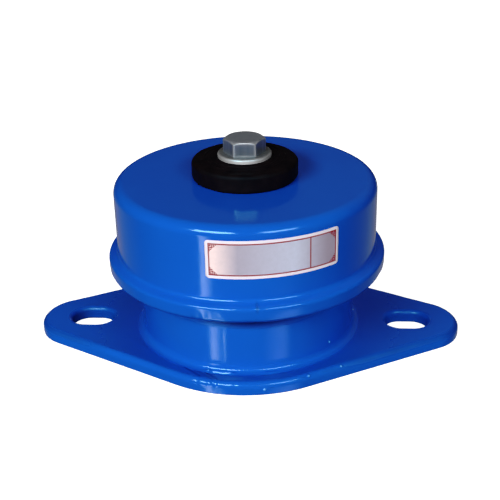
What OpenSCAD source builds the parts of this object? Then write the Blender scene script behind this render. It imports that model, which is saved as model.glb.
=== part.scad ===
// Spring vibration isolator: a pressed upper housing that rides on a coil spring over a lower housing,
// which is welded to a lozenge-shaped base plate with two fixing slots.
// Millimetres, +Z up. The origin is on the spring's axis, on the underside of the base plate.
// The plate's long side lies along X, and the front is -Y.

/* [Base plate] */
// Length over the two rounded tips
plate_l = 226; // [214:1:240]
// Width across the middle
plate_w = 134; // [128:1:140]
// Thickness
plate_t = 7; // [5:0.5:9]
// Radius of each tip, seen from above
tip_r = 22; // [19:0.5:25]
// Rounding of its upper edge
plate_edge_r = 2.6; // [1.5:0.1:3]
// Rounding of its lower edge
plate_foot_r = 0.8; // [0.4:0.1:1.5]
// Distance between the centres of the two slots
slot_spacing = 171; // [168:0.5:174]
// Length of each slot, end to end
slot_l = 23; // [20:0.5:28]
// Width of each slot
slot_w = 17.5; // [14:0.5:19]

/* [Upper housing] */
// Thickness of the pressed sheet
wall_t = 2.5; // [2:0.1:2.8]
// Outside diameter of the wall
cap_d = 134.6; // [132:0.2:138]
// Height of the flat top above the floor
top_z = 89.5; // [86:0.5:94]
// Outside radius of the top corner
cap_corner_r = 5.5; // [4:0.5:8]
// How far the rim steps out from the wall
rim_step = 4.7; // [4:0.1:5.5]
// Height of the rim's rolled lip above the floor
rim_z = 42.7; // [40:0.1:45]
// Height of the rim's upright band
rim_h = 6.5; // [6:0.1:8]
// Slope of the shoulder above the rim, in degrees from level
shoulder_slope = 22; // [12:1:32]
// Radius where the wall runs out into the shoulder
shoulder_in_r = 2.5; // [2:0.1:3]
// Radius where the shoulder turns down into the band
shoulder_out_r = 2; // [1.5:0.1:2.5]
// Outside radius of the rolled lip
lip_r = 2.5; // [2:0.1:3]
// How far the lip reaches in under the rim
lip_reach = 6; // [5:0.5:7]

/* [Lower housing] */
// Outside diameter of the wall
cup_d = 112; // [108:0.5:114]
// Leg length of the weld at its foot
weld_leg = 4.3; // [3:0.1:5]
// Thickness of the rubber buffer under its flange
buffer_t = 2.5; // [2:0.1:3]
// Height of the rubber guide ring on its flange
guide_h = 5.5; // [4:0.5:8]

/* [Spring] */
// Wire diameter
wire_d = 11; // [9:0.5:11.5]
// Mean diameter of the coil
coil_d = 80; // [74:1:82]
// Turns that work, without the closed turn at each end
active_turns = 2.6; // [2.2:0.1:3]
// Thickness of the rubber seat at each end
seat_t = 4; // [3:0.5:5]
// How far the seats' centring collars stand into the coil
collar_h = 8; // [5:0.5:10]

/* [Top fixing] */
// Diameter of the rubber pad
pad_d = 54.4; // [50:0.2:58]
// Thickness of the pad under the washer
pad_t = 10.5; // [9:0.5:12]
// Washer diameter
washer_d = 27.5; // [25:0.5:29]
// Washer thickness
washer_t = 2.5; // [2:0.1:3]
// Nominal thread diameter of the bolt
bolt_d = 12; // [10:1:12]
// Length of the bolt under its head
bolt_l = 30; // [28:1:34]
// Height of the hexagon head
head_h = 7.5; // [6.5:0.1:8]
// Width of the hexagon across its flats
head_af = 19; // [17:0.5:20]
// Turn of the hexagons about the axis, in degrees
head_turn = 4; // [-30:1:30]

/* [Label] */
// Width of the blank label, along the wall
label_w = 65.2; // [50:0.2:80]
// Height of the label
label_h = 19.2; // [14:0.2:20]
// Height of the label's middle above the floor
label_z = 73.6; // [71:0.1:74]
// Turn of the label's middle from the front, in degrees
label_turn = 16; // [-60:1:60]

/* [Hidden] */
$fn = 96;

// Steps in each rounded corner of a turned profile
arc_steps = 8;
// Gap left between pieces that touch without moving
seam = 0.05;
// Gap between pieces that move past each other
stop_gap = 0.4;

cap_r = cap_d / 2;
rim_r = cap_r + rim_step;
cup_r = cup_d / 2;
cup_bore_r = cup_r - wall_t;
lip_in_r = rim_r - lip_reach;
bolt_hole_r = bolt_d / 2 + 0.75;

// Centre of the radius at the shoulder's outer edge, then of the radius at its inner edge.
// The shoulder is the straight line that touches both.
shoulder_out = [rim_r - shoulder_out_r, rim_z + rim_h];
shoulder_radii = shoulder_in_r + shoulder_out_r;
shoulder_drop = (shoulder_radii - (shoulder_radii - rim_step) * sin(shoulder_slope)) / cos(shoulder_slope);
shoulder_in = [cap_r + shoulder_in_r, shoulder_out[1] + shoulder_drop];
shoulder_turn = 90 - shoulder_slope;

// Where the shoulder's inner face meets the band's inner face
band_in_r = rim_r - wall_t;
inner_start = shoulder_in - (shoulder_in_r + wall_t) * [sin(shoulder_slope), cos(shoulder_slope)];
band_roof_z = inner_start[1] - (band_in_r - inner_start[0]) * tan(shoulder_slope);

// The ring that the rolled lip holds in the rim, the buffer on it, and the flange above both
ring_z = rim_z + wall_t;
ring_t = band_roof_z - ring_z - 0.3;
ring_in_r = cup_r + 1.2;
buffer_z = ring_z + ring_t;
flange_z = buffer_z + buffer_t + stop_gap;
flange_r = cap_r - wall_t - 1.5;
flange_bend_r = 2;
guide_z = flange_z + wall_t;
guide_r = cap_r - wall_t - 0.5;
guide_w = 6;

// The spring stands between two rubber seats
spring_low = plate_t + seat_t;
spring_high = top_z - wall_t - seat_t;
wire_r = wire_d / 2;
coil_r = coil_d / 2;
collar_r = coil_r - wire_r - 1.5;
seat_r = cup_bore_r - 1;
upper_seat_r = coil_r + wire_r + 3;
coil_tip_t = wire_d / 4;
closed_rise = wire_d + 0.5;
coil_start = spring_low + coil_tip_t - wire_r;
coil_pitch = (spring_high - spring_low - 2 * coil_tip_t + wire_d - 2 * closed_rise) / active_turns;
coil_turns = active_turns + 2;
steps_per_turn = 24;
coil_steps = round(coil_turns * steps_per_turn);
arc_points = 6;
section_points = 2 * arc_points;

// The top fixing, stacked on the flat top
pad_r = pad_d / 2;
pad_shoulder_r = 2.2;
pad_foot_r = 1.5;
pad_fall = 1;
ridge_r = 0.9;
ridge_h = 0.45;
ridge_first = 14.9;
ridge_pitch = 2.9;
ridge_count = 3;
washer_z = top_z + pad_t;
washer_r = washer_d / 2;
head_z = washer_z + washer_t;
nut_h = 10;
corner_r = head_af / 2 / cos(30);

blue = [0.05, 0.30, 0.72];
black = [0.10, 0.10, 0.11];
zinc = [0.68, 0.69, 0.70];
steel = [0.35, 0.36, 0.38];

// Points along an arc about centre c, from angle a0 to angle a1
function arc(c, r, a0, a1) =
    [for (i = [0:arc_steps]) c + r * [cos(a0 + (a1 - a0) * i / arc_steps), sin(a0 + (a1 - a0) * i / arc_steps)]];

// A solid of revolution from a closed profile of [radius, height] points
module turned(profile) {
    rotate_extrude() polygon(profile);
}

// A level disc with its upper and lower edges rounded
module rounded_disc(r, h, edge_r, foot_r) {
    turned(concat([[0, 0]],
                  arc([r - foot_r, foot_r], foot_r, -90, 0),
                  arc([r - edge_r, h - edge_r], edge_r, 0, 90),
                  [[0, h]]));
}

// A round-ended slot through a plate, along X
module slot_cut(l, w, h) {
    for (side = [-1, 1])
        translate([side * (l - w) / 2, 0, 0])
            cylinder(d = w, h = h);
    translate([-(l - w) / 2, -w / 2, 0])
        cube([l - w, w, h]);
}

// The lozenge: one hull around a wide middle disc and a small disc at each tip
module base_plate() {
    color(blue)
        difference() {
            hull() {
                rounded_disc(plate_w / 2, plate_t, plate_edge_r, plate_foot_r, $fn = 72);
                for (side = [-1, 1])
                    translate([side * (plate_l / 2 - tip_r), 0, 0])
                        rounded_disc(tip_r, plate_t, plate_edge_r, plate_foot_r, $fn = 48);
            }
            for (side = [-1, 1])
                translate([side * slot_spacing / 2, 0, -1])
                    slot_cut(slot_l, slot_w, plate_t + 2);
        }
}

// A tube with a flange turned out at its top, which keeps the upper housing from lifting off
module lower_housing() {
    bend = [cup_r + flange_bend_r, flange_z - flange_bend_r];
    color(blue)
        turned(concat([[cup_bore_r, plate_t], [cup_r, plate_t]],
                      arc(bend, flange_bend_r, 180, 90),
                      [[flange_r, flange_z], [flange_r, flange_z + wall_t]],
                      arc(bend, flange_bend_r + wall_t, 90, 180)));
}

// A slightly full fillet around the foot of the lower housing
module housing_weld() {
    foot_r = cup_r + seam;
    full = 0.35;
    color(blue)
        turned([[foot_r, plate_t],
                [foot_r + weld_leg, plate_t],
                [foot_r + weld_leg / 2 + full, plate_t + weld_leg / 2 + full],
                [foot_r, plate_t + weld_leg]]);
}

// Rubber seat on the plate, with a solid collar that centres the coil
module lower_spring_seat() {
    color(black)
        turned([[0, plate_t], [seat_r, plate_t], [seat_r, spring_low], [collar_r, spring_low],
                [collar_r - 1, spring_low + collar_h], [0, spring_low + collar_h]]);
}

// Rubber seat under the top, open in the middle for the nut
module upper_spring_seat() {
    hole_r = 14;
    collar_in_r = collar_r - 8;
    roof_z = spring_high + seat_t;
    color(black)
        turned([[hole_r, roof_z], [upper_seat_r, roof_z], [upper_seat_r, spring_high],
                [collar_r, spring_high], [collar_r - 1, spring_high - collar_h],
                [collar_in_r, spring_high - collar_h], [collar_in_r, spring_high], [hole_r, spring_high]]);
}

// Height of the wire's centre after t turns: a closed turn, the working turns, a closed turn
function coil_z(t) =
    coil_start
    + closed_rise * min(t, 1)
    + coil_pitch * max(0, min(t - 1, active_turns))
    + closed_rise * max(0, t - 1 - active_turns);

// Angle around the wire at which a level cut at height z leaves it; a full wire keeps a narrow flat
function cut_angle(z, zc) = asin(max(-0.985, min(0.985, (z - zc) / wire_r)));

// One section of the wire: its outer arc and its inner arc, cut level at both ground ends
function wire_section(t) =
    let (zc = coil_z(t), low = cut_angle(spring_low, zc), high = cut_angle(spring_high, zc), turn = 360 * t)
    [for (j = [0:section_points - 1])
        let (up = j < arc_points,
             part = (up ? j : section_points - 1 - j) / (arc_points - 1),
             b = low + (high - low) * part,
             r = coil_r + (up ? 1 : -1) * wire_r * cos(b))
        [r * cos(turn), r * sin(turn), zc + wire_r * sin(b)]];

// The coil, swept section by section
module main_spring() {
    points = [for (i = [0:coil_steps]) each wire_section(coil_turns * i / coil_steps)];
    sides = [for (i = [0:coil_steps - 1]) for (j = [0:section_points - 1])
                let (k = (j + 1) % section_points,
                     a = i * section_points + j,
                     b = i * section_points + k,
                     c = a + section_points,
                     d = b + section_points)
                each [[a, c, b], [b, c, d]]];
    first_end = [[for (j = [0:section_points - 1]) j]];
    last_end = [[for (j = [section_points - 1:-1:0]) coil_steps * section_points + j]];
    color(steel)
        polyhedron(points, concat(sides, first_end, last_end), convexity = 10);
}

// Rubber ring on the flange, which guides and damps the upper housing
module guide_ring() {
    chamfer = 1;
    color(black)
        turned([[guide_r - guide_w, guide_z], [guide_r, guide_z], [guide_r, guide_z + guide_h - chamfer],
                [guide_r - chamfer, guide_z + guide_h], [guide_r - guide_w, guide_z + guide_h]]);
}

// The pressed cup: flat top, upright wall, sloped shoulder, band, and a lip rolled in below
module upper_housing() {
    corner = [cap_r - cap_corner_r, top_z - cap_corner_r];
    outside = concat([[bolt_hole_r, top_z]],
                     arc(corner, cap_corner_r, 90, 0),
                     arc(shoulder_in, shoulder_in_r, 180, 180 + shoulder_turn),
                     arc(shoulder_out, shoulder_out_r, shoulder_turn, 0),
                     arc([rim_r - lip_r, rim_z + lip_r], lip_r, 0, -90),
                     [[lip_in_r, rim_z]]);
    inside = concat([[lip_in_r, ring_z], [band_in_r, ring_z], [band_in_r, band_roof_z]],
                    arc(shoulder_in, shoulder_in_r + wall_t, 180 + shoulder_turn, 180),
                    arc(corner, cap_corner_r - wall_t, 0, 90),
                    [[bolt_hole_r, top_z - wall_t]]);
    color(blue)
        turned(concat(outside, inside));
}

// Flat ring held in the rim, which the flange catches under
module retaining_ring() {
    color(steel)
        turned([[ring_in_r, ring_z], [band_in_r - 0.2, ring_z],
                [band_in_r - 0.2, buffer_z], [ring_in_r, buffer_z]]);
}

// Rubber ring between the retaining ring and the flange
module rebound_buffer() {
    buffer_in_r = ring_in_r + 0.6;
    color(black)
        turned([[buffer_in_r, buffer_z], [flange_r, buffer_z],
                [flange_r, buffer_z + buffer_t], [buffer_in_r, buffer_z + buffer_t]]);
}

// Hexagon nut fixed under the top
module captive_nut() {
    thread_gap = 0.05;
    color(steel)
        difference() {
            translate([0, 0, top_z - wall_t - nut_h])
                rotate(head_turn)
                    cylinder(r = corner_r, h = nut_h, $fn = 6);
            translate([0, 0, top_z - wall_t - nut_h - 1])
                cylinder(r = bolt_d / 2 + thread_gap, h = nut_h + 2);
        }
}

// Rubber disc with a gently falling top and concentric ridges
module top_pad() {
    edge_r = pad_r - pad_shoulder_r;
    fall_from_r = washer_r;
    slope = pad_fall / (edge_r - fall_from_r);
    ridges = [for (i = [ridge_count - 1:-1:0])
                 let (c = ridge_first + i * ridge_pitch)
                 for (s = [1, 0.5, 0, -0.5, -1])
                     [c + s * ridge_r, washer_z - (c + s * ridge_r - fall_from_r) * slope + ridge_h * (1 - s * s)]];
    color(black)
        turned(concat([[bolt_d / 2 + 0.5, top_z]],
                      arc([pad_r - pad_foot_r, top_z + pad_foot_r], pad_foot_r, -90, 0),
                      arc([edge_r, washer_z - pad_fall - pad_shoulder_r], pad_shoulder_r, 0, 90),
                      ridges,
                      [[fall_from_r, washer_z], [bolt_d / 2 + 0.5, washer_z]]));
}

// Plain washer with a rounded top edge
module flat_washer() {
    top_edge_r = 1.1;
    color(zinc)
        turned(concat([[bolt_hole_r, washer_z], [washer_r, washer_z]],
                      arc([washer_r - top_edge_r, head_z - top_edge_r], top_edge_r, 0, 90),
                      [[bolt_hole_r, head_z]]));
}

// Hexagon bolt: the head's corners are cut back by a cone, and the shank's end is chamfered
module fixing_bolt() {
    chamfer_r = 0.475 * head_af;
    cone_r = corner_r + 1;
    cone_drop = (cone_r - chamfer_r) * tan(30);
    end_chamfer = 1.2;
    color(zinc) {
        translate([0, 0, head_z])
            intersection() {
                rotate(head_turn)
                    cylinder(r = corner_r, h = head_h, $fn = 6);
                turned([[0, 0], [cone_r, 0], [cone_r, head_h - cone_drop], [chamfer_r, head_h], [0, head_h]]);
            }
        turned([[0, head_z], [bolt_d / 2, head_z], [bolt_d / 2, head_z - bolt_l + end_chamfer],
                [bolt_d / 2 - end_chamfer, head_z - bolt_l], [0, head_z - bolt_l]]);
    }
}

// Thin blank label on the wall of the upper housing
module blank_label() {
    film_t = 0.15;
    film_r = cap_r + seam;
    span = label_w / film_r * 180 / PI;
    color([0.85, 0.80, 0.82])
        rotate(label_turn - 90 - span / 2)
            rotate_extrude(angle = span)
                translate([film_r, label_z - label_h / 2])
                    square([film_t, label_h]);
}

base_plate();
lower_housing();
housing_weld();
lower_spring_seat();
main_spring();
guide_ring();
upper_housing();
retaining_ring();
rebound_buffer();
upper_spring_seat();
captive_nut();
top_pad();
flat_washer();
fixing_bolt();
blank_label();
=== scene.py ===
"""Looks of a spring vibration isolator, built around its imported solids.

Metres, +Z up, the front is -Y. An azimuth is measured from the front towards +X.
"""
import math

import bmesh
import bpy
import numpy as np
from mathutils import Matrix, Vector


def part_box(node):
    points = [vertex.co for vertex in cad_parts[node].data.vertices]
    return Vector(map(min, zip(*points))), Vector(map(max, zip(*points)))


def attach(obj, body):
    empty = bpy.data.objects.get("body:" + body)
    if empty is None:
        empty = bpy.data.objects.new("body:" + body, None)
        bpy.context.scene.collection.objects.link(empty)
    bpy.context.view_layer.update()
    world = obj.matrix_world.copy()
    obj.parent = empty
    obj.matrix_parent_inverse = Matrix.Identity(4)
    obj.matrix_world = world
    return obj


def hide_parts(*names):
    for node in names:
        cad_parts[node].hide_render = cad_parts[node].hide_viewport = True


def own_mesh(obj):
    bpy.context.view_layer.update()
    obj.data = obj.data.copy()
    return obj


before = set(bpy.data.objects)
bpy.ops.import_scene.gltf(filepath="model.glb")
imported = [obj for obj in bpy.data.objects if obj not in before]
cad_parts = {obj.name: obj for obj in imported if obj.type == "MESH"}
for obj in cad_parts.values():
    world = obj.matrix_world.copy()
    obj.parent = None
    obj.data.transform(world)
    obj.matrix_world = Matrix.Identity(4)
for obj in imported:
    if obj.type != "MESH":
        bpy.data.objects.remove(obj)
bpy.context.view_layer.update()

MM = 0.001

# Sizes that the frame gives
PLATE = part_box("base_plate")[1]
CAP_LOW, CAP_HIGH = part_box("upper_housing")
PAD_LOW, PAD_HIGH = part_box("top_pad")
WASHER_LOW, WASHER_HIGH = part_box("flat_washer")
BOLT_LOW, BOLT_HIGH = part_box("fixing_bolt")
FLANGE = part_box("lower_housing")[1]
LABEL_LOW, LABEL_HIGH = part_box("blank_label")
SPRING_LOW, SPRING_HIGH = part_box("main_spring")

# Base plate
PLATE_T = PLATE.z
TIP_R = 22 * MM
TIP_X = PLATE.x - TIP_R
PLATE_EDGE = 3.1 * MM
PLATE_FOOT = 0.8 * MM
SLOT_X = 85.5 * MM
SLOT_L = 23 * MM
SLOT_W = 17.5 * MM
SLOT_EDGE = 2.3 * MM
# How much painted shade, with the paint rougher there too, lies on the flat top, round the housing's foot, on
# the tips' edges and in the slots
PLATE_SHADE = 0.08
FOOT_SHADE = 0.20
TIP_SHADE = 0.38
SLOT_SHADE = 0.22
# How far outside the foot its painted shade is most, and how wide it spreads
FOOT_SHADE_OUT = 8 * MM
FOOT_SHADE_WIDE = 22 * MM
# Where the tips' painted shade starts, from the middle, and the length over which it grows, on each side
TIP_SHADE_RIGHT = (35 * MM, 30 * MM)
TIP_SHADE_LEFT = (68 * MM, 24 * MM)

# Upper housing
WALL_T = 2.5 * MM
CAP_R = 67.3 * MM
CAP_CORNER = 5.5 * MM
RIM_R = CAP_HIGH.x
RIM_H = 6.5 * MM
LIP_R = 2.5 * MM
LIP_REACH = 6 * MM
SHOULDER_SLOPE = 22
SHOULDER_IN = 2.5 * MM
SHOULDER_OUT = 2 * MM
# Dents along the lip: azimuth in degrees, depth, width in degrees, height above the lip's foot
LIP_DENTS = (
    (-17.5, 0.12 * MM, 0.9, 1.2 * MM),
    (-14.6, 0.16 * MM, 1.1, 1.6 * MM),
    (-11.0, 0.12 * MM, 1.0, 2.4 * MM),
    (4.0, 0.10 * MM, 2.0, 1.0 * MM),
    (19.0, 0.18 * MM, 2.2, 1.5 * MM),
)
# Depth of the waver along the lip
LIP_WAVER = 0.22 * MM
# A nick in the band: azimuth in degrees, height above the lip's foot, depth
NICK_TURN = 7.6
NICK_UP = 7.8 * MM
NICK_DEPTH = 0.25 * MM

# Lower housing and its weld
CUP_R = 56 * MM
FLANGE_BEND = 2 * MM
# Painted shadow under the upper housing's lip: how far down it reaches, and the height over which it fades
SHADOW_REACH = 12.2 * MM
SHADOW_FADE = 3.2 * MM
WELD_SPREAD = 5.3 * MM
WELD_HOLLOW = 2.4
# The weld's bead: middle and half width of its stretch in degrees, place across, height in millimetres
BEAD_TURN = -10.6
BEAD_HALF = 7.0
BEAD_ACROSS = (0.58, 0.70, 0.84)
BEAD_HEIGHT = 1.12

# Coil spring
WIRE_R = 5.5 * MM
COIL_R = SPRING_HIGH.x - WIRE_R
ACTIVE_TURNS = 2.6
CLOSED_GAP = 0.5 * MM

# Top fixing
BOLT_R = 6 * MM
BOLT_HOLE = 6.75 * MM
HEAD_AF = 19 * MM
HEAD_TURN = 4
PAD_HOLE = 6.5 * MM

# Label
LABEL_TURN = 15.6
LABEL_W = 66 * MM
LABEL_FILM = 0.15 * MM
# Painted reflection and shade across the film: share of its width and a colour, its two ends before the
# places between them
FILM_LIGHT_AND_SHADE = (
    (0.06, (1.08, 0.85, 0.83)),
    (0.90, (0.42, 0.35, 0.45)),
    (0.23, (0.47, 0.43, 0.53)),
    (0.64, (0.65, 0.68, 0.84)),
)

# Finishes: the colour of painted shade and of the nick's mark, how much rougher the paint is there, and zinc
# for painted highlights
SHADE_AND_NICK_PAINT = (0.002, 0.018, 0.10, 1)
DULL_ROUGHNESS = 0.7
HIGHLIGHT_ZINC = (0.90, 0.91, 0.92, 1)

# Photograph's frame: side in pixels, focal length in pixels, and where the camera stands
PHOTO_SIDE = 500
FOCAL_PX = 993.2
CAMERA_TURN = 3.93
CAMERA_RISE = 25.07
CAMERA_ROLL = -1.242
CAMERA_AWAY = 524.44 * MM
CAMERA_AIM = Vector((1.68 * MM, 0, 47.31 * MM))
# The photograph's contrast, as points of a tone curve
TONE_CURVE = ((0.04, 0.022), (0.1, 0.103), (0.3, 0.31))


def arc(centre, radius, start, end, steps=12):
    """Points on a circle: centre plus radius times (cos a, sin a), a going from start to end in degrees."""
    a = np.radians(np.linspace(start, end, steps + 1))
    return np.column_stack([centre[0] + radius * np.cos(a), centre[1] + radius * np.sin(a)])


def outline(*parts, closed=True, step=1.3 * MM):
    """The parts' points in order, with straight runs of points about one step apart filled in between."""
    parts = [np.atleast_2d(np.asarray(part, float)) for part in parts]
    rows = []
    for here, there in zip(parts, parts[1:] + parts[:1]):
        first, last = here[-1], there[0]
        count = max(2, int(np.hypot(*(last - first)) / step))
        part = np.linspace(0, 1, count + 1)[1:-1, None]
        rows += [here, first + (last - first) * part]
    return np.concatenate(rows if closed else rows[:-1])


def turned(radius, height, turn):
    """Radius and height carried round the Z axis: x = r sin a, y = -r cos a, z = h, a being the azimuth."""
    radius, height, turn = np.broadcast_arrays(radius, height, turn)
    return np.stack([radius * np.sin(turn), -radius * np.cos(turn), height], axis=-1)


def bump_at(value, centre, width):
    """A smooth hump of height 1 about centre: exp of minus the squared distance in widths."""
    return np.exp(-(((value - centre) / width) ** 2))


def ripple(turn, waves, seed):
    """A repeating ripple of height about 1, with seeded phases.

    It is the sum of cosines with the given whole wave counts, over the root of how many there are.
    """
    phases = np.random.default_rng(seed).uniform(0, 2 * np.pi, len(waves))
    total = sum(np.cos(count * turn + phase) for count, phase in zip(waves, phases))
    return total / math.sqrt(len(waves))


def add_object(name, data):
    """A new object that holds the data, linked to the scene."""
    thing = bpy.data.objects.new(name, data)
    bpy.context.scene.collection.objects.link(thing)
    return thing


def make_piece(name, grids, material, body, nodes, sharp=38, values=None, value_name="mark_and_shade"):
    """Joins point grids into one mesh: each grid's neighbours make its quads, and equal points are merged.

    A grid is (points, rows wrap, columns wrap). values is a float for every point, kept as an attribute.
    """
    corners, quads, start = [], [], 0
    for points, wrap_rows, wrap_columns in grids:
        rows, columns = points.shape[:2]
        index = start + np.arange(rows * columns).reshape(rows, columns)
        if wrap_rows:
            index = np.vstack([index, index[:1]])
        if wrap_columns:
            index = np.hstack([index, index[:, :1]])
        ring = [index[:-1, :-1], index[1:, :-1], index[1:, 1:], index[:-1, 1:]]
        quads.append(np.stack(ring, axis=-1).reshape(-1, 4))
        corners.append(points.reshape(-1, 3))
        start += rows * columns
    mesh = bpy.data.meshes.new(name)
    mesh.from_pydata(np.concatenate(corners), [], np.concatenate(quads))
    if values is not None:
        mesh.attributes.new(value_name, "FLOAT", "POINT").data.foreach_set("value", values.ravel())
    work = bmesh.new()
    work.from_mesh(mesh)
    bmesh.ops.remove_doubles(work, verts=work.verts, dist=1e-6)
    bmesh.ops.dissolve_degenerate(work, edges=work.edges, dist=1e-7)
    bmesh.ops.recalc_face_normals(work, faces=work.faces)
    work.to_mesh(mesh)
    work.free()
    mesh.polygons.foreach_set("use_smooth", np.ones(len(mesh.polygons), bool))
    mesh.set_sharp_from_angle(angle=math.radians(sharp))
    piece = add_object(name, mesh)
    mesh.materials.append(material)
    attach(piece, body)
    if nodes:
        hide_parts(*nodes)
    return piece


# Materials


def new_material(name):
    """An empty node material with a Principled shader; returns the material, its nodes, links and shader."""
    material = bpy.data.materials.new(name)
    material.use_nodes = True
    tree = material.node_tree
    return material, tree.nodes, tree.links, tree.nodes["Principled BSDF"]


def noise(nodes, links, scale, detail=3.0):
    """Noise on the piece's own coordinates, scale being waves per metre."""
    place = nodes.new("ShaderNodeTexCoord")
    field = nodes.new("ShaderNodeTexNoise")
    field.inputs["Scale"].default_value = scale
    field.inputs["Detail"].default_value = detail
    links.new(place.outputs["Object"], field.inputs["Vector"])
    return field.outputs["Fac"]


def span(nodes, links, value, low, high, start=0.3, end=0.7):
    """A value carried from start..end to low..high."""
    ramp = nodes.new("ShaderNodeMapRange")
    ramp.inputs["From Min"].default_value = start
    ramp.inputs["From Max"].default_value = end
    ramp.inputs["To Min"].default_value = low
    ramp.inputs["To Max"].default_value = high
    links.new(value, ramp.inputs["Value"])
    return ramp.outputs["Result"]


def blend(nodes, links, factor, first, second):
    """Two colours mixed by a factor; a colour is four numbers or a socket."""
    mix = nodes.new("ShaderNodeMix")
    mix.data_type = "RGBA"
    links.new(factor, mix.inputs["Factor"])
    for socket, colour in ((mix.inputs["A"], first), (mix.inputs["B"], second)):
        if isinstance(colour, tuple):
            socket.default_value = colour
        else:
            links.new(colour, socket)
    return mix.outputs["Result"]


def relief(nodes, links, height, strength, distance, below=None):
    """A bump node from a height, on top of another bump if one is given."""
    bump = nodes.new("ShaderNodeBump")
    bump.inputs["Strength"].default_value = strength
    bump.inputs["Distance"].default_value = distance
    links.new(height, bump.inputs["Height"])
    if below is not None:
        links.new(below, bump.inputs["Normal"])
    return bump.outputs["Normal"]


def math_node(nodes, links, operation, *values):
    """One math step on sockets or plain numbers."""
    step = nodes.new("ShaderNodeMath")
    step.operation = operation
    for socket, value in zip(step.inputs, values):
        if isinstance(value, (int, float)):
            socket.default_value = value
        else:
            links.new(value, socket)
    return step.outputs["Value"]


def gloss_paint(name, deep, light):
    """Thick blue enamel: colour drift and a fine orange peel, darker and rougher where the attribute is set:
    painted shade, and the nick's dark mark.
    """
    material, nodes, links, shader = new_material(name)
    drift = span(nodes, links, noise(nodes, links, 26, 4), 0, 1)
    colour = blend(nodes, links, drift, deep, light)
    mark_and_shade = nodes.new("ShaderNodeAttribute")
    mark_and_shade.attribute_name = "mark_and_shade"
    # Painted shade, and the nick's dark mark, where the attribute is set
    colour = blend(nodes, links, mark_and_shade.outputs["Fac"], colour, SHADE_AND_NICK_PAINT)
    links.new(colour, shader.inputs["Base Color"])
    sheen = span(nodes, links, noise(nodes, links, 90, 5), 0.10, 0.17)
    rough = math_node(nodes, links, "MULTIPLY_ADD", mark_and_shade.outputs["Fac"], DULL_ROUGHNESS, sheen)
    links.new(rough, shader.inputs["Roughness"])
    peel = relief(nodes, links, noise(nodes, links, 420, 2), 0.10, 0.12 * MM)
    flow = relief(nodes, links, noise(nodes, links, 70, 2), 0.05, 0.5 * MM, peel)
    links.new(flow, shader.inputs["Normal"])
    shader.inputs["IOR"].default_value = 1.5
    return material


def moulded_rubber(name):
    """Black rubber: a grey bloom in patches and a fine grain."""
    material, nodes, links, shader = new_material(name)
    bloom = span(nodes, links, noise(nodes, links, 160, 5), 0, 1)
    colour = blend(nodes, links, bloom, (0.0052, 0.0018, 0.0036, 1), (0.0135, 0.0070, 0.0085, 1))
    links.new(colour, shader.inputs["Base Color"])
    links.new(span(nodes, links, noise(nodes, links, 300, 4), 0.55, 0.68), shader.inputs["Roughness"])
    links.new(relief(nodes, links, noise(nodes, links, 2600, 3), 0.25, 0.05 * MM), shader.inputs["Normal"])
    shader.inputs["Specular IOR Level"].default_value = 0.18
    return material


def zinc_plate(name, dark, light, metallic, gloss):
    """Zinc-plated steel: upright drawn streaks, a faint mottle in gloss, and painted highlights, lighter and
    less metallic where the attribute is set.
    """
    material, nodes, links, shader = new_material(name)
    place = nodes.new("ShaderNodeTexCoord")
    drawn = nodes.new("ShaderNodeMapping")
    drawn.inputs["Scale"].default_value = (1, 1, 0.06)
    links.new(place.outputs["Object"], drawn.inputs["Vector"])
    streak = nodes.new("ShaderNodeTexNoise")
    streak.inputs["Scale"].default_value = 520
    streak.inputs["Detail"].default_value = 3
    links.new(drawn.outputs["Vector"], streak.inputs["Vector"])
    colour = blend(nodes, links, span(nodes, links, streak.outputs["Fac"], 0, 1), dark, light)
    painted_highlight = nodes.new("ShaderNodeAttribute")
    painted_highlight.attribute_name = "painted_highlight"
    colour = blend(nodes, links, painted_highlight.outputs["Fac"], colour, HIGHLIGHT_ZINC)
    links.new(colour, shader.inputs["Base Color"])
    links.new(span(nodes, links, painted_highlight.outputs["Fac"], metallic, 0.1, 0, 1), shader.inputs["Metallic"])
    mottle = span(nodes, links, noise(nodes, links, 240, 3), gloss, gloss + 0.08)
    links.new(mottle, shader.inputs["Roughness"])
    links.new(relief(nodes, links, streak.outputs["Fac"], 0.04, 0.02 * MM), shader.inputs["Normal"])
    return material


def rolled_steel(name, dark, light, metallic):
    """Plain steel of the inner pieces: scale in patches between two tones."""
    material, nodes, links, shader = new_material(name)
    patch = span(nodes, links, noise(nodes, links, 120, 6), 0, 1)
    links.new(blend(nodes, links, patch, dark, light), shader.inputs["Base Color"])
    links.new(span(nodes, links, noise(nodes, links, 500, 4), 0.35, 0.55), shader.inputs["Roughness"])
    links.new(relief(nodes, links, noise(nodes, links, 1200, 4), 0.2, 0.05 * MM), shader.inputs["Normal"])
    shader.inputs["Metallic"].default_value = metallic
    return material


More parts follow.
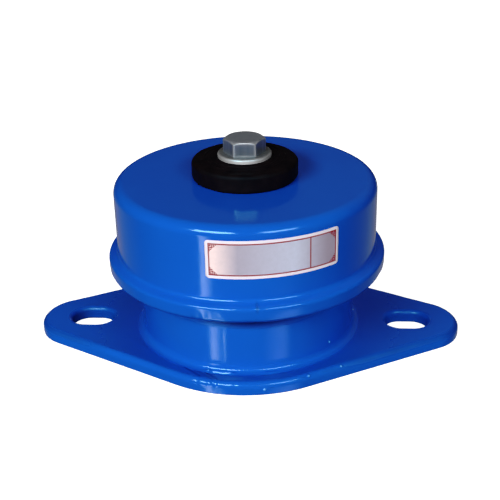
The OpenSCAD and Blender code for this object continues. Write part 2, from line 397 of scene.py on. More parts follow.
def blank_film(name, width, height):
    """Silver label film with nothing on it: white margin, thin red frame, divider and red corners, its ground
    painted with reflection and shade across its width.

    It reads its own UV map, which is in millimetres from the label's lower left corner. A corner is made of
    nested angles: red where the distance from the margin, over their spacing, has a fraction below a share.
    """
    margin, line, corner, divider = 1.45, 0.66, 4.9, 0.757
    fret_spacing, fret_share = 0.9, 0.70
    material, nodes, links, shader = new_material(name)
    place = nodes.new("ShaderNodeTexCoord")
    split = nodes.new("ShaderNodeSeparateXYZ")
    links.new(place.outputs["UV"], split.inputs["Vector"])
    across, up = split.outputs["X"], split.outputs["Y"]

    def step(operation, *values):
        return math_node(nodes, links, operation, *values)

    side = step("MINIMUM", across, step("SUBTRACT", width, across))
    end = step("MINIMUM", up, step("SUBTRACT", height, up))
    edge = step("MINIMUM", side, end)
    inside = step("GREATER_THAN", edge, margin)
    in_frame = step("MULTIPLY", inside, step("LESS_THAN", edge, margin + line))
    from_divider = step("ABSOLUTE", step("SUBTRACT", across, width * divider))
    in_divider = step("MULTIPLY", inside, step("LESS_THAN", from_divider, line / 2))
    side_in, end_in = step("SUBTRACT", side, margin), step("SUBTRACT", end, margin)
    near_corner = step("LESS_THAN", step("ADD", side_in, end_in), corner)
    angles = step("DIVIDE", step("MAXIMUM", side_in, end_in), fret_spacing)
    fret = step("LESS_THAN", step("FRACT", angles), fret_share)
    in_corner = step("MULTIPLY", step("MULTIPLY", inside, near_corner), fret)
    red = step("MAXIMUM", step("MAXIMUM", in_frame, in_divider), in_corner)
    # The ground's colour across the film is painted reflection and shade: lighter on the left, darker to the
    # right
    sheen = nodes.new("ShaderNodeValToRGB")
    links.new(step("DIVIDE", across, width), sheen.inputs["Fac"])
    stops = sheen.color_ramp.elements
    for count, (share, tint) in enumerate(FILM_LIGHT_AND_SHADE):
        mark = stops[count] if count < 2 else stops.new(share)
        mark.position, mark.color = share, (*tint, 1)
    grain = span(nodes, links, noise(nodes, links, 500, 4), 0, 0.12)
    ground = blend(nodes, links, grain, sheen.outputs["Color"], (0.30, 0.28, 0.34, 1))
    colour = blend(nodes, links, inside, (0.96, 0.88, 0.97, 1), ground)
    colour = blend(nodes, links, red, colour, (0.33, 0.042, 0.048, 1))
    links.new(colour, shader.inputs["Base Color"])
    links.new(span(nodes, links, noise(nodes, links, 700, 3), 0.36, 0.46), shader.inputs["Roughness"])
    return material


blue_enamel = gloss_paint("blue_enamel", (0.0107, 0.103, 0.587, 1), (0.0118, 0.110, 0.613, 1))
# Paler paint for the nibs: a painted highlight standing for their glints
glint_enamel = gloss_paint("glint_enamel", (0.09, 0.33, 0.90, 1), (0.13, 0.40, 0.96, 1))
black_rubber = moulded_rubber("black_rubber")
drawn_zinc = zinc_plate("drawn_zinc", (0.215, 0.230, 0.268, 1), (0.270, 0.285, 0.325, 1), 0.68, 0.30)
pale_zinc = zinc_plate("pale_zinc", (0.165, 0.162, 0.160, 1), (0.215, 0.211, 0.208, 1), 0.45, 0.32)
plain_steel = rolled_steel("plain_steel", (0.16, 0.16, 0.17, 1), (0.30, 0.30, 0.32, 1), 0.9)
spring_steel = rolled_steel("spring_steel", (0.012, 0.012, 0.014, 1), (0.03, 0.03, 0.034, 1), 0.3)
label_film = blank_film("label_film", LABEL_W / MM, (LABEL_HIGH.z - LABEL_LOW.z) / MM)


# Upper housing


def housing_turns(count, dense_from, dense_to, dense_count):
    """Azimuths all the way round, with extra ones between two azimuths in degrees, in radians."""
    coarse = np.linspace(-np.pi, np.pi, count, endpoint=False)
    fine = np.radians(np.linspace(dense_from, dense_to, dense_count))
    return np.unique(np.concatenate([coarse, fine]))


def upper_housing():
    """The cup's profile carried round the axis, dented a little along its band and lip.

    The shoulder is the straight line that touches the radius at its inner and at its outer edge, so its drop
    follows from the two radii, the step and the slope. A dent moves the skin towards the axis by its depth
    times a hump in azimuth and a hump in height.
    """
    top, low = CAP_HIGH.z, CAP_LOW.z
    slope = math.radians(SHOULDER_SLOPE)
    radii = SHOULDER_IN + SHOULDER_OUT
    drop = (radii - (radii - (RIM_R - CAP_R)) * math.sin(slope)) / math.cos(slope)
    outer_edge = (RIM_R - SHOULDER_OUT, low + RIM_H)
    inner_edge = (CAP_R + SHOULDER_IN, outer_edge[1] + drop)
    swing = 90 - SHOULDER_SLOPE
    corner = (CAP_R - CAP_CORNER, top - CAP_CORNER)
    band = RIM_R - WALL_T
    inner_r = SHOULDER_IN + WALL_T
    line_r = inner_edge[0] - inner_r * math.sin(slope)
    line_z = inner_edge[1] - inner_r * math.cos(slope)
    roof = line_z - (band - line_r) * math.tan(slope)
    skin = outline(
        (BOLT_HOLE, top),
        arc(corner, CAP_CORNER, 90, 0, 20),
        arc(inner_edge, SHOULDER_IN, 180, 180 + swing, 14),
        arc(outer_edge, SHOULDER_OUT, swing, 0, 14),
        arc((RIM_R - LIP_R, low + LIP_R), LIP_R, 0, -90, 12),
        (RIM_R - LIP_REACH, low),
        (RIM_R - LIP_REACH, low + WALL_T),
        (band, low + WALL_T),
        (band, roof),
        arc(inner_edge, inner_r, 180 + swing, 180, 8),
        arc(corner, CAP_CORNER - WALL_T, 0, 90, 8),
        (BOLT_HOLE, top - WALL_T),
        step=1.6 * MM,
    )
    turn = housing_turns(260, -26, 18, 150)
    radius, height = skin[:, :1], skin[:, 1:]
    degrees = np.degrees(turn)
    near_lip = bump_at(height, low + 1.0 * MM, 3.0 * MM) * (radius > RIM_R - LIP_REACH)
    waver = ripple(turn, (5, 9, 16, 27, 44), 3) * 0.5 + 0.5
    dents = LIP_WAVER * np.clip(waver, 0, 2) * near_lip
    for turn_at, depth, wide, up in LIP_DENTS:
        dents = dents + depth * bump_at(degrees, turn_at, wide) * bump_at(height, low + up, 1.6 * MM)
    nick = bump_at(degrees, NICK_TURN, 0.6) * bump_at(height, low + NICK_UP, 1.5 * MM) * (radius > CAP_R - MM)
    dents = dents + NICK_DEPTH * nick
    points = turned(radius - dents, height, turn)
    make_piece("upper_housing_skin", [(points, True, True)], blue_enamel, "upper",
               ["upper_housing"], values=np.clip(nick * 0.45, 0, 1) + 0 * points[..., 0])


# Lower housing, weld and plate


def plate_shade(radius):
    """Painted shade on the plate's top at a distance from the axis: an even share and a hump outside the
    foot.
    """
    return PLATE_SHADE + FOOT_SHADE * bump_at(radius, CUP_R + FOOT_SHADE_OUT, FOOT_SHADE_WIDE)


def lower_housing():
    """A tube with a flange turned out at its top, its profile carried round the axis.

    Close under the upper housing's lip its paint is darkened: a painted shadow of the lip. This
    fades out downwards over a few millimetres and is strongest at the front.
    """
    bore, high = CUP_R - WALL_T, FLANGE.z
    bend = (CUP_R + FLANGE_BEND, high - WALL_T - FLANGE_BEND)
    skin = outline(
        (bore, PLATE_T),
        (CUP_R, PLATE_T),
        arc(bend, FLANGE_BEND, 180, 90, 6),
        (FLANGE.x, high - WALL_T),
        (FLANGE.x, high),
        arc(bend, FLANGE_BEND + WALL_T, 90, 180, 8),
        step=0.6 * MM,
    )
    turn = np.linspace(-np.pi, np.pi, 256, endpoint=False)
    sway = 0.10 * MM * ripple(turn, (2, 3, 5), 11)
    points = turned(skin[:, :1] - np.abs(sway) * (skin[:, :1] < CUP_R + MM), skin[:, 1:], turn)
    under_lip = np.clip((skin[:, 1:] - CAP_LOW.z + SHADOW_REACH) / SHADOW_FADE, 0, 1) * (skin[:, :1] > bore + MM)
    # Painted shadow of the lip, strongest at the front
    lip_shadow = under_lip * (0.28 + 0.46 * bump_at(np.degrees(turn), 6, 20))
    make_piece("lower_housing_tube", [(points, True, True)], blue_enamel, "base",
               ["lower_housing"], values=lip_shadow)


def housing_weld():
    """A hollow fillet round the foot, with a lumpy bead near its toe.

    Across it, the distances from the wall and from the plate are powers of the part and of what is left of
    it, so it runs out softly into both, its ends sunk a little into the wall and the plate. The bead rises
    and falls in straight lines across; along it, its height follows slow lumps, full over a short stretch
    left of the front and faint elsewhere. A fine ripple runs along the fillet's middle.
    """
    wall_sink, root_sink, plate_sink = 0.25 * MM, 0.3 * MM, 0.04 * MM
    turn = housing_turns(420, -32, 32, 420)
    part = np.linspace(0, 1, 81)[:, None]
    degrees = np.degrees(turn)
    lumps = ripple(turn, (37, 53, 71), 21)
    stretch = np.exp(-(((degrees - BEAD_TURN) / BEAD_HALF) ** 6)) * (1 - 0.5 * bump_at(degrees, -15.2, 0.8))
    strong = 0.03 + 0.97 * stretch + 0.35 * bump_at(degrees, 14, 4)
    across = np.interp(part, BEAD_ACROSS, (0, 1, 0))
    swell = np.maximum(BEAD_HEIGHT + 0.12 * lumps, 0.05) * MM * strong * across
    swell = swell + 0.018 * MM * ripple(turn, (151, 187, 229, 263), 22) * bump_at(part, 0.42, 0.15)
    lean = np.arctan2(part ** (WELD_HOLLOW - 1), (1 - part) ** (WELD_HOLLOW - 1))
    radius = CUP_R - wall_sink * (1 - part) ** 5 + WELD_SPREAD * part**WELD_HOLLOW + swell * np.cos(lean)
    height = PLATE_T + WELD_SPREAD * (1 - part) ** WELD_HOLLOW - plate_sink * part + swell * np.sin(lean)
    root = np.zeros((1, turn.size))
    foot = turned(CUP_R - root_sink + root, PLATE_T - plate_sink + root, turn)
    head = turned(CUP_R - root_sink + root, PLATE_T + WELD_SPREAD + root, turn)
    points = np.concatenate([head, turned(radius, height, turn), foot])
    # Painted shade near the weld's toe, carried on from the plate's top; none on the bead
    painted_shade = np.concatenate([root, plate_shade(radius) * part**5 * (1 - across * stretch), root])
    make_piece("foot_weld", [(points, True, True)], blue_enamel, "base", ["housing_weld"],
               sharp=80, values=painted_shade)


def slot_ring(direction):
    """Where rays from a slot's middle meet its outline, and the outline's normal there.

    A ray meets a straight side at half the width over its sine, or else the round end about half the
    straight length away.
    """
    half, straight = SLOT_W / 2, (SLOT_L - SLOT_W) / 2
    cos, sin = np.cos(direction), np.sin(direction)
    on_side = np.abs(half * cos) <= straight * np.abs(sin)
    to_side = half / np.maximum(np.abs(sin), 1e-9)
    to_end = straight * np.abs(cos) + np.sqrt(np.maximum(half**2 - (straight * sin) ** 2, 0))
    reach = np.where(on_side, to_side, to_end)
    x, y = reach * cos, reach * sin
    normal_x = np.where(on_side, 0, (x - np.sign(cos) * straight) / half)
    normal_y = np.where(on_side, np.sign(sin), y / half)
    return np.column_stack([x, y]), np.column_stack([normal_x, normal_y])


def half_outline():
    """Points and outward normals along the plate's edge, from the front's middle round one tip to the back's.

    The edge is an arc about the middle, a straight line that touches it and the tip's arc, and the same back.
    """
    tangent = math.degrees(math.acos((PLATE.y - TIP_R) / TIP_X))
    legs = [((0, 0), PLATE.y, -90, -tangent, 40), ((TIP_X, 0), TIP_R, -tangent, tangent, 64),
            ((0, 0), PLATE.y, tangent, 90, 40)]
    arcs = [(arc(centre, radius, a, b, n), arc((0, 0), 1, a, b, n)) for centre, radius, a, b, n in legs]
    part = np.linspace(0, 1, 66)[1:-1, None]
    rows = []
    for here, there in zip(arcs, arcs[1:]):
        rows += [here, (here[0][-1] + (there[0][0] - here[0][-1]) * part, here[1][-1] + 0 * part)]
    rows.append(arcs[-1])
    return np.concatenate([r[0] for r in rows]), np.concatenate([r[1] for r in rows])


def edge_wander(points, side):
    """How much the paint rounds the plate's edge: the plain rounding with a slow and a quick waver.

    The quick waver is strong along a short stretch left of the front, where it breaks the edge into glints.
    """
    along = np.arctan2(points[:, 1], points[:, 0] * side)
    slow = 0.06 * ripple(along, (7, 13, 29), 31)
    quick = 0.012 + 0.16 * bump_at(np.degrees(along), -103, 9)
    return PLATE_EDGE * (1.0 + slow + quick * ripple(along, (83, 131, 173), 32))


def quarter_round(flat, outward, high, radius, steps=9):
    """A rounded upper edge that starts at a flat's border.

    At an angle it is the radius times the sine further out, and the radius times one less the cosine lower.
    """
    swing = np.radians(np.linspace(0, 90, steps))[:, None]
    reach = radius[None, :] * np.sin(swing)
    plan = flat[None] + outward[None] * reach[..., None]
    return np.concatenate([plan, (high - radius * (1 - np.cos(swing)))[..., None]], axis=-1)


def inner_loop(edge, normal, depth):
    """The edge moved in by a depth at each point, closed by the seam across the plate's middle."""
    inset = edge - normal * depth[:, None]
    seam = np.linspace(inset[-1, 1], inset[0, 1], 42)[1:-1]
    return np.concatenate([inset, np.column_stack([0 * seam, seam])])


def level(plan, z):
    """Plan points at one height."""
    return np.concatenate([plan, np.full(plan.shape[:-1] + (1,), z)], axis=-1)


def half_shade(top, slot, wall, wander, side):
    """Painted shade, with rougher paint, on the top, the slot's wall and the outer wall of one half.

    Down a rounding's first tenth it goes over from the top's to the wall's own: in the slot a share that
    grows with depth, most at the left slot's outer end, and on the edge a share that grows towards the tip
    and fades out to the edge's upright part.
    """
    sunk = np.clip((PLATE_T - slot[..., 2]) / SLOT_EDGE, 0, 1)
    far_end = np.clip((slot[..., 0] - SLOT_X) / (SLOT_L / 2), 0, 1) * (side < 0)
    in_slot = SLOT_SHADE + sunk * (0.12 + 0.45 * far_end)
    fallen = np.clip((PLATE_T - wall[..., 2]) / wander, 0, 1)
    first, reach = TIP_SHADE_RIGHT if side > 0 else TIP_SHADE_LEFT
    at_tip = TIP_SHADE * np.clip((wall[..., 0] - first) / reach, 0, 1) * np.clip(2 - 2 * fallen, 0, 1)
    top_shade, slot_top, wall_top = (plate_shade(np.hypot(g[..., 0], g[..., 1])) for g in (top, slot, wall))
    slot_shade = slot_top + (in_slot - slot_top) * np.clip(sunk / 0.1, 0, 1)
    wall_shade = wall_top + (at_tip - wall_top) * np.clip(fallen / 0.1, 0, 1)
    return top_shade, slot_shade, wall_shade


def base_plate():
    """The lozenge in two halves: each a ring of rays from its slot to its edge, with slot and outer walls.

    Along a ray the top and the bottom are straight. The upper edges are rounded broadly, the lower ones a
    little.
    """
    edge, normal = half_outline()
    count = len(edge)
    middle = np.array([SLOT_X, 0])
    share = np.array([0, 0.02, 0.08, 0.2, 0.4, 0.6, 0.8, 0.92, 0.98, 1])[:, None, None]
    grids, painted_shade = [], []
    for side in (1, -1):
        wander = edge_wander(edge, side)
        low = np.full(count, PLATE_FOOT)
        top_loop, low_loop = inner_loop(edge, normal, wander), inner_loop(edge, normal, low)
        away = low_loop - middle
        ring, out = slot_ring(np.arctan2(away[:, 1], away[:, 0]))
        ring = ring + middle
        top_ring, low_ring = ring + out * SLOT_EDGE, ring + out * PLATE_FOOT
        top = level(top_ring + (top_loop - top_ring) * share, PLATE_T)
        bottom = level(low_ring + (low_loop - low_ring) * share, 0.0)
        wall = np.concatenate([quarter_round(top_loop[:count], normal, PLATE_T, wander),
                               quarter_round(low_loop[:count], normal, 0.0, low)[::-1] * (1, 1, -1)])
        slot_r, slot_low = np.full(len(ring), SLOT_EDGE), np.full(len(ring), PLATE_FOOT)
        slot = np.concatenate([quarter_round(top_ring, -out, PLATE_T, slot_r),
                               quarter_round(low_ring, -out, 0.0, slot_low)[::-1] * (1, 1, -1)])
        flip = np.array([side, 1, 1])
        # Painted shade for the top, the slot's wall and the outer wall; the bottom gets none
        top_shade, slot_shade, wall_shade = half_shade(top, slot, wall, wander, side)
        painted_shade += [top_shade, 0 * bottom[..., 0], slot_shade, wall_shade]
        grids += [(top * flip, False, True), (bottom * flip, False, True), (slot * flip, False, True),
                  (wall * flip, False, False)]
    make_piece("lozenge_plate", grids, blue_enamel, "base", ["base_plate"],
               values=np.concatenate([value.ravel() for value in painted_shade]))


def paint_nibs():
    """Small lumps in the paint, their paler colour a painted highlight: balls flattened along the surface's
    normal, half sunk at chosen places.

    A place is a point of the skin, the direction that it faces and the ball's radius in millimetres.
    """
    flatness = 0.55
    places = [(turned(PLATE.y, 3.4 * MM, math.radians(10.2)), turned(1.0, 0.0, math.radians(10.2)), 0.74),
              (np.array([33.15, -57.36, 6.12]) * MM, np.array([0.361, -0.634, 0.686]), 0.58),
              (np.array([49.24, -48.07, 6.22]) * MM, np.array([0.342, -0.603, 0.721]), 0.52),
              (turned(CUP_R, 12.6 * MM, math.radians(51)), turned(1.0, 0.0, math.radians(51)), 0.45)]
    rise = np.radians(np.linspace(-90, 90, 13))[:, None]
    around = np.radians(np.linspace(0, 360, 18, endpoint=False))[None, :]
    grids = []
    for centre, facing, size in places:
        facing = facing / np.linalg.norm(facing)
        across = np.cross(facing, (0.3, 0.5, 0.8))
        across = across / np.linalg.norm(across)
        over = np.cross(facing, across)
        ball = (np.cos(rise) * np.cos(around))[..., None] * across
        ball = ball + (np.cos(rise) * np.sin(around))[..., None] * over
        ball = ball + (flatness * np.sin(rise) + 0 * around)[..., None] * facing
        grids.append((centre + ball * size * MM, False, True))
    make_piece("paint_nibs", grids, glint_enamel, "base", [])


# Coil spring


def main_spring():
    """A round wire along a helix of a closed turn, the working turns and a closed turn, with ground ends.

    At a turn the wire's centre is at the coil's radius and at a height that grows by a fixed rise over each
    closed turn and by the pitch over each working one. The section is an outer and an inner arc between the
    two angles at which the levels of the ground ends cut the wire; a whole wire keeps a narrow flat. The coil
    keeps a mesh of its own.
    """
    low, high = SPRING_LOW.z, SPRING_HIGH.z
    whole = 0.985
    tip, rise = WIRE_R / 2, 2 * WIRE_R + CLOSED_GAP
    pitch = (high - low - 2 * tip + 2 * WIRE_R - 2 * rise) / ACTIVE_TURNS
    turns = np.linspace(0, ACTIVE_TURNS + 2, 332)[:, None]
    centre = low + tip - WIRE_R + rise * np.minimum(turns, 1) + pitch * np.clip(turns - 1, 0, ACTIVE_TURNS)
    centre = centre + rise * np.maximum(turns - 1 - ACTIVE_TURNS, 0)
    foot = np.arcsin(np.clip((low - centre) / WIRE_R, -whole, whole))
    head = np.arcsin(np.clip((high - centre) / WIRE_R, -whole, whole))
    swing = foot + (head - foot) * np.linspace(0, 1, 12)
    radius = COIL_R + WIRE_R * np.concatenate([np.cos(swing), -np.cos(swing[:, ::-1])], axis=1)
    height = centre + WIRE_R * np.concatenate([np.sin(swing), np.sin(swing[:, ::-1])], axis=1)
    points = turned(radius, height, np.pi / 2 + 2 * np.pi * turns)
    first, last = (np.broadcast_to(row.mean(axis=0), (1, *row.shape)) for row in (points[0], points[-1]))
    points = np.concatenate([first, points, last])
    coil = make_piece("coil_spring", [(points, False, True)], spring_steel, "base",
                      ["main_spring"])
    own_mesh(coil)


# Top fixing


def top_pad():
    """A rubber disc: rounded foot and shoulder, a top that falls gently outwards, and low ridges on it.

    A ridge is a hump across the radius, and the three lie an even step apart.
    """
    low, radius = PAD_LOW.z, PAD_HIGH.x
    shoulder, foot, fall, start = 2.2 * MM, 1.5 * MM, 1.0 * MM, WASHER_HIGH.x
    high = WASHER_LOW.z
    edge = radius - shoulder
    across = np.linspace(edge, start, 90)
    ridge_first, ridge_step, ridge_high = 14.9, 2.9, 0.42 * MM
    ridge = sum(bump_at(across, (ridge_first + ridge_step * i) * MM, 0.55 * MM) for i in range(3))
    crown = high - (across - start) / (edge - start) * fall + ridge_high * ridge
    skin = outline(
        (PAD_HOLE, low),
        arc((radius - foot, low + foot), foot, -90, 0, 8),
        arc((edge, high - fall - shoulder), shoulder, 0, 90, 12),
        np.column_stack([across[1:], crown[1:]]),
        (PAD_HOLE, high),
    )
    turn = np.linspace(-np.pi, np.pi, 200, endpoint=False)
    give = 0.10 * MM * (ripple(turn, (2, 3, 7, 12), 41) - 1.2) * (skin[:, :1] > start)
    points = turned(skin[:, :1] + np.minimum(give, 0), skin[:, 1:], turn)
    make_piece("rubber_pad", [(points, True, True)], black_rubber, "upper", ["top_pad"])


def flat_washer():
    """A ring with a full round on its upper rim and small rounds elsewhere, carried round the axis."""
    low, high, radius = WASHER_LOW.z, WASHER_HIGH.z, WASHER_HIGH.x
    rim, small = 1.1 * MM, 0.35 * MM
    skin = outline(
        (BOLT_HOLE, low),
        arc((radius - small, low + small), small, -90, 0, 5),
        arc((radius - rim, high - rim), rim, 0, 90, 12),
        arc((BOLT_HOLE + small, high - small), small, 90, 180, 5),
    )
    turn = np.linspace(-np.pi, np.pi, 160, endpoint=False)
    points = turned(skin[:, :1], skin[:, 1:], turn)
    # Painted highlight on the outer rim, strongest at the front
    highlight_share = bump_at(skin[:, :1], radius, 0.5 * rim) * (0.25 + 0.45 * bump_at(np.degrees(turn), -2, 36))
    make_piece("zinc_washer", [(points, True, True)], pale_zinc, "upper", ["flat_washer"],
               values=highlight_share, value_name="painted_highlight")


def hexagon(turn, across_flats, crisp=48):
    """Radius of a hexagon with eased corners: half the width over a high mean of the six sides' cosines."""
    sides = np.radians(HEAD_TURN + 60 * np.arange(6))
    cosines = np.maximum(np.cos(turn[..., None] - sides), 0)
    return across_flats / 2 / (cosines**crisp).sum(axis=-1) ** (1 / crisp)


def fixing_bolt():
    """Head and shank as one skin of azimuth and profile: flat top, chamfer, hexagon sides, round shank.

    On the chamfer the height falls by tan 30 times the distance past the flat; the sides follow the hexagon.
    Corners, the chamfer's edge and the head's foot carry painted highlights, most where they face the front;
    the top is painted a little lighter.
    """
    head, top, end = WASHER_HIGH.z, BOLT_HIGH.z, BOLT_LOW.z
    flat = 0.475 * HEAD_AF
    chamfer = math.tan(math.radians(30))
    corners = np.radians(HEAD_TURN + 30 + 60 * np.arange(6))
    near = np.radians(np.linspace(-4, 4, 13))
    turn = np.unique(np.concatenate([np.linspace(-np.pi, np.pi, 120, endpoint=False),
                                     ((corners[:, None] + near).ravel() + np.pi) % (2 * np.pi) - np.pi]))
    side = hexagon(turn, HEAD_AF)
    ease = 0.28 * MM
    disc = np.array([0, 0.35, 0.7, 0.9])[:, None] * flat + 0 * turn
    slope_part = np.array([0.02, 0.12, 0.35, 0.65, 1.0])[:, None]
    slope_r = flat + (side - ease - flat) * slope_part
    edge_z = top - (side - ease - flat) * chamfer
    drop_part = np.array([0, 0.03, 0.1, 0.3, 0.6, 0.85, 1.0])[:, None]
    side_z = (edge_z - ease * 1.2) + (head + 0.15 * MM - edge_z + ease * 1.2) * drop_part
    flat_rows = turned(disc, top, turn)
    slope_rows = turned(slope_r, top - (slope_r - flat) * chamfer, turn)
    ease_row = turned((side - 0.3 * ease)[None], (edge_z - 0.45 * ease)[None], turn)
    side_rows = turned(side[None] + 0 * side_z, side_z, turn)
    ring = np.ones((1, turn.size))
    point = 1.2 * MM
    below = [(None, head), (BOLT_R, head), (BOLT_R, head - 4 * MM), (BOLT_R, end + point),
             (BOLT_R - point, end), (0, end)]
    under = [turned((side if r is None else r) * ring, z * ring, turn) for r, z in below]
    points = np.concatenate([flat_rows, slope_rows, ease_row, side_rows, *under])
    off_corner = np.abs((turn - math.radians(HEAD_TURN)) % (np.pi / 3) - np.pi / 6) * side
    corner = bump_at(off_corner, 0, 0.62 * MM)[None]
    height, reach = points[..., 2], np.hypot(points[..., 0], points[..., 1])
    rim = bump_at(height, edge_z - 0.1 * MM, 0.58 * MM) * (reach > flat + MM / 3)
    base = 0.4 * bump_at(height, head + 0.25 * MM, 0.35 * MM)
    highlight_share = np.clip(np.maximum(np.maximum(corner * (height < edge_z), rim), base), 0, 1)
    facing = 0.22 + 0.78 * bump_at((np.degrees(turn) - HEAD_TURN + 180) % 360 - 180, 0, 34) ** 2
    highlight_share = highlight_share * facing * (height > head - MM / 10)
    # Painted light on the head's top: a little lighter all over
    highlight_share = np.maximum(highlight_share, 0.13 * (height > edge_z + 0.1 * MM))
    make_piece("hexagon_bolt", [(points, False, True)], drawn_zinc, "upper", ["fixing_bolt"],
               sharp=30, values=highlight_share, value_name="painted_highlight")


def blank_label():
    """A film on the wall: azimuth by height, each row's half width following the rounded corners.

    Near the top and bottom a row is shortened by the corner radius less the circle's half chord there.
    """
    height = LABEL_HIGH.z - LABEL_LOW.z
    corner = 1.6 * MM
    ends = corner * (1 - np.cos(np.linspace(0, np.pi / 2, 8)))
    up = np.concatenate([ends, np.linspace(corner, height - corner, 10)[1:-1], height - ends[::-1]])
    past = np.maximum(np.abs(up - height / 2) - (height / 2 - corner), 0)
    half = LABEL_W / 2 - corner + np.sqrt(np.maximum(corner**2 - past**2, 0))
    part = np.linspace(-1, 1, 81)
    along = half[:, None] * part
    film_r = CAP_R + 0.05 * MM
    turn = math.radians(LABEL_TURN) + along / film_r
    points = turned(film_r, LABEL_LOW.z + up[:, None] + 0 * along, turn)
    piece = make_piece("blank_sticker", [(points, False, False)], label_film, "upper",
                       ["blank_label"])
    mesh = piece.data
    place = np.empty(len(mesh.vertices) * 3)
    mesh.vertices.foreach_get("co", place)
    place = place.reshape(-1, 3)
    across = (np.arctan2(place[:, 0], -place[:, 1]) - math.radians(LABEL_TURN)) * film_r + LABEL_W / 2
    index = np.empty(len(mesh.loops), int)
    mesh.loops.foreach_get("vertex_index", index)
    uv = np.column_stack([across, place[:, 2] - LABEL_LOW.z])[index] / MM
    mesh.uv_layers.new(name="film").data.foreach_set("uv", uv.ravel())
    outward = Vector(mesh.polygons[0].normal).dot(Vector(mesh.polygons[0].center) * Vector((1, 1, 0))) > 0
    if not outward:
        mesh.flip_normals()
    film = piece.modifiers.new("film", "SOLIDIFY")
    film.thickness = LABEL_FILM
    film.offset = 1


upper_housing()
lower_housing()
housing_weld()
base_plate()
paint_nibs()
main_spring()
top_pad()
flat_washer()
fixing_bolt()
blank_label()

# Inner pieces keep their solids and take a finish
INNER = {
    "retaining_ring": plain_steel,
    "captive_nut": plain_steel,
    "lower_spring_seat": black_rubber,
    "upper_spring_seat": black_rubber,
    "guide_ring": black_rubber,
    "rebound_buffer": black_rubber,
}
for node, material in INNER.items():
    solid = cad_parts[node]
    solid.data.materials.clear()
    solid.data.materials.append(material)


# Studio

COOL = (0.34, 0.82, 1.0)
PALE_COOL = (0.52, 0.84, 1.0)
DEEP_BLUE = (0.38, 0.48, 1.0)
LIGHT_AIM = Vector((0, 0, 0.06))
CARD_AIM = Vector((0, 0, 0.04))


def direction(turn, rise):
    """Unit vector towards an azimuth and a height above the horizon, in degrees."""
    a, e = math.radians(turn), math.radians(rise)
    return Vector((math.sin(a) * math.cos(e), -math.cos(a) * math.cos(e), math.sin(e)))


def only_gloss_sees(card):
    """Hides a card from the camera, shadows and everything else but gloss."""
    card.visible_camera = card.visible_diffuse = card.visible_shadow = card.visible_transmission = False


def soft_light(name, turn, rise, away, wide, tall, power, shine=True, fill=True, tint=(1, 1, 1)):
    """A rectangular light that faces the object; shine: gloss mirrors it, fill: it lights the colours."""
    lamp = bpy.data.lights.new(name, "AREA")
    lamp.shape = "RECTANGLE"
    lamp.size, lamp.size_y = wide, tall
    lamp.energy = power
    lamp.color = tint
    holder = add_object(name, lamp)
    back = direction(turn, rise)
    holder.location = LIGHT_AIM + back * away
    holder.rotation_euler = back.to_track_quat("Z", "Y").to_euler()
    holder.visible_glossy = shine
    holder.visible_diffuse = fill


def glow_card(name, turn, rise, away, wide, tall, strength, ease_in, ease_out, tint=PALE_COOL):
    """A card that only gloss sees, for the upright streaks on the walls.

    Its glow rises over the share ease_in of its width from one side and falls over ease_out to the other.
    """
    half = np.array([[-wide, -tall], [wide, -tall], [wide, tall], [-wide, tall]]) / 2
    back = direction(turn, rise)
    spin = back.to_track_quat("Z", "Y").to_matrix()
    centre = CARD_AIM + back * away
    corners = [tuple(centre + spin @ Vector((x, y, 0))) for x, y in half]
    mesh = bpy.data.meshes.new(name)
    mesh.from_pydata(corners, [], [(0, 1, 2, 3)])
    mesh.uv_layers.new(name="card").data.foreach_set("uv", [0, 0, 1, 0, 1, 1, 0, 1])
    material = bpy.data.materials.new(name)
    material.use_nodes = True
    nodes, links = material.node_tree.nodes, material.node_tree.links
    nodes.clear()
    split = nodes.new("ShaderNodeSeparateXYZ")
    links.new(nodes.new("ShaderNodeTexCoord").outputs["UV"], split.inputs["Vector"])
    rise_part = span(nodes, links, split.outputs["X"], 0, strength, 0, ease_in)
    fall_part = span(nodes, links, split.outputs["X"], 1, 0, 1 - ease_out, 1)
    glow = nodes.new("ShaderNodeEmission")
    glow.inputs["Color"].default_value = (*tint, 1)
    links.new(math_node(nodes, links, "MULTIPLY", rise_part, fall_part), glow.inputs["Strength"])
    links.new(glow.outputs["Emission"], nodes.new("ShaderNodeOutputMaterial").inputs["Surface"])
    material.cycles.emission_sampling = "NONE"
    mesh.materials.append(material)
    card = add_object(name, mesh)
    only_gloss_sees(card)


def top_spot():
    """A soft spot above, a little behind the axis, as wide as the upper housing."""
    lamp = bpy.data.lights.new("top_spot", "SPOT")
    away, spread, set_back = 1.2, 1.15, 0.22
    lamp.spot_size = 2 * math.atan(spread * CAP_R / away)
    lamp.spot_blend = 0.5
    lamp.shadow_soft_size = 0.25
    lamp.energy = 8.5
    holder = add_object("top_spot", lamp)
    holder.location = (0, set_back * CAP_R, CAP_HIGH.z + away)
    holder.visible_glossy = False


def slot_flags():
    """Small dark cards under the slots, which keep the streak cards out of the slot walls' gloss."""
    half = np.array([[-1, -1], [1, -1], [1, 1], [-1, 1]]) * np.array([SLOT_L, SLOT_W]) * 0.75
    corners = np.concatenate([half + (side * SLOT_X, 0) for side in (-1, 1)])
    mesh = bpy.data.meshes.new("slot_flags")
    mesh.from_pydata(np.column_stack([corners, np.full(8, -0.2 * MM)]), [], [(0, 1, 2, 3), (4, 5, 6, 7)])
    material, _, _, shader = new_material("slot_flags")
    shader.inputs["Base Color"].default_value = (0.01, 0.02, 0.05, 1)
    shader.inputs["Roughness"].default_value = 0.9
    mesh.materials.append(material)
    flags = add_object("slot_flags", mesh)
    only_gloss_sees(flags)


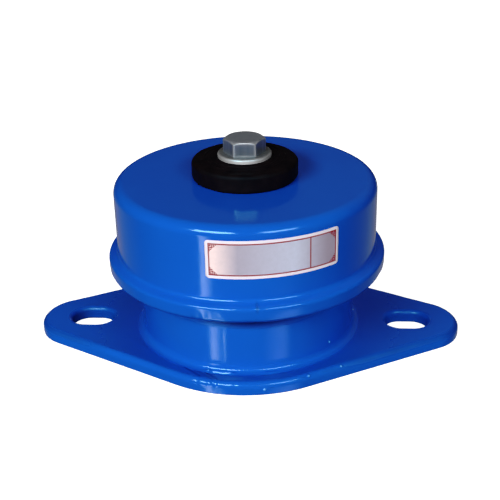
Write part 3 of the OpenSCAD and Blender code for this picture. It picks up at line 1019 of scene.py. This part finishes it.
def pale_floor():
    """A wide pale floor that gloss doesn't mirror; it throws only a little light back on the object."""
    side, paleness, seen_glow, thrown_glow = 4.0, 0.92, 0.80, 0.13
    corners = [(-side, -side, 0), (side, -side, 0), (side, side, 0), (-side, side, 0)]
    mesh = bpy.data.meshes.new("pale_floor")
    mesh.from_pydata(corners, [], [(0, 1, 2, 3)])
    material, nodes, links, shader = new_material("pale_floor")
    seen = nodes.new("ShaderNodeLightPath").outputs["Is Camera Ray"]
    links.new(math_node(nodes, links, "MULTIPLY", seen, paleness), shader.inputs["Base Color"])
    shader.inputs["Roughness"].default_value = 0.9
    shader.inputs["Emission Color"].default_value = (1, 1, 1, 1)
    glow = math_node(nodes, links, "MULTIPLY_ADD", seen, seen_glow, thrown_glow)
    links.new(glow, shader.inputs["Emission Strength"])
    mesh.materials.append(material)
    floor = add_object("pale_floor", mesh)
    floor.visible_glossy = False


def surround():
    """A world that is white to the camera and dim to the object.

    Two faint glows light it from behind: a table below the horizon, and a room above it, weaker on the left.
    """
    least, table_glow, room_glow = 0.02, 0.28, 0.10
    world = bpy.data.worlds.new("surround")
    world.use_nodes = True
    nodes, links = world.node_tree.nodes, world.node_tree.links
    back = nodes["Background"]
    way = nodes.new("ShaderNodeSeparateXYZ")
    links.new(nodes.new("ShaderNodeTexCoord").outputs["Generated"], way.inputs["Vector"])
    below = span(nodes, links, way.outputs["Z"], 1, 0, -0.5, -0.05)
    above = span(nodes, links, way.outputs["Z"], 0, 1, 0.05, 0.4)
    behind = span(nodes, links, way.outputs["Y"], 0, 1, 0.1, 0.7)
    right = span(nodes, links, way.outputs["X"], 0.12, 1, -0.6, 0.3)
    table = math_node(nodes, links, "MULTIPLY", below, behind)
    room = math_node(nodes, links, "MULTIPLY", math_node(nodes, links, "MULTIPLY", above, behind), right)
    strength = math_node(nodes, links, "MULTIPLY_ADD", table, table_glow, least)
    strength = math_node(nodes, links, "MULTIPLY_ADD", room, room_glow, strength)
    seen = nodes.new("ShaderNodeLightPath").outputs["Is Camera Ray"]
    links.new(math_node(nodes, links, "MAXIMUM", strength, seen), back.inputs["Strength"])
    back.inputs["Color"].default_value = (1, 1, 1, 1)
    bpy.context.scene.world = world


def studio():
    """Two strips that draw the thin highlights, broad low fills, streak cards, and a pale surround."""
    soft_light("left_strip", -25.5, 35, 1.2, 0.62, 0.26, 12.0, tint=COOL, fill=False)
    soft_light("right_strip", 33, 35, 1.2, 0.52, 0.24, 5.2, tint=COOL, fill=False)
    soft_light("left_key", -33, 29, 2.4, 1.4, 0.26, 43.5, shine=False)
    soft_light("right_key", 28, 29, 2.4, 1.4, 0.26, 24.0, shine=False)
    soft_light("front_bounce", 6, 3, 1.2, 0.9, 0.3, 0.6, shine=False)
    soft_light("back_fill", 178, 3, 1.2, 1.2, 0.3, 9.0, shine=False)
    top_spot()
    glow_card("left_streak", -30.4, -34, 2.0, 0.366, 2.2, 6.3, 0.08, 0.75)
    glow_card("left_thin_streak", -21.6, -44, 2.0, 0.064, 1.15, 9.0, 0.4, 0.4)
    glow_card("right_streak", 34, -44, 2.0, 0.98, 1.15, 2.1, 0.55, 0.24, tint=DEEP_BLUE)
    slot_flags()
    surround()


def photo_tone():
    """The photograph's contrast: no film look, and a curve that pulls the darkest tones down."""
    view = bpy.context.scene.view_settings
    view.view_transform = "Standard"
    view.use_curve_mapping = True
    tone = view.curve_mapping
    for place in TONE_CURVE:
        tone.curves[3].points.new(*place)
    tone.update()


def camera():
    """The photograph's view: away from the aim along an azimuth and a height, rolled about its own axis."""
    back = direction(CAMERA_TURN, CAMERA_RISE)
    right = (-back).cross(Vector((0, 0, 1))).normalized()
    up = right.cross(-back)
    roll = math.radians(CAMERA_ROLL)
    across = right * math.cos(roll) + up * math.sin(roll)
    upright = up * math.cos(roll) - right * math.sin(roll)
    lens = bpy.data.cameras.new("photo_view")
    lens.sensor_width = 36
    lens.lens = FOCAL_PX * lens.sensor_width / PHOTO_SIDE
    eye = add_object("photo_view", lens)
    spin = Matrix((across, upright, back)).transposed()
    eye.matrix_world = Matrix.Translation(CAMERA_AIM + back * CAMERA_AWAY) @ spin.to_4x4()
    bpy.context.scene.camera = eye


pale_floor()
studio()
photo_tone()
camera()
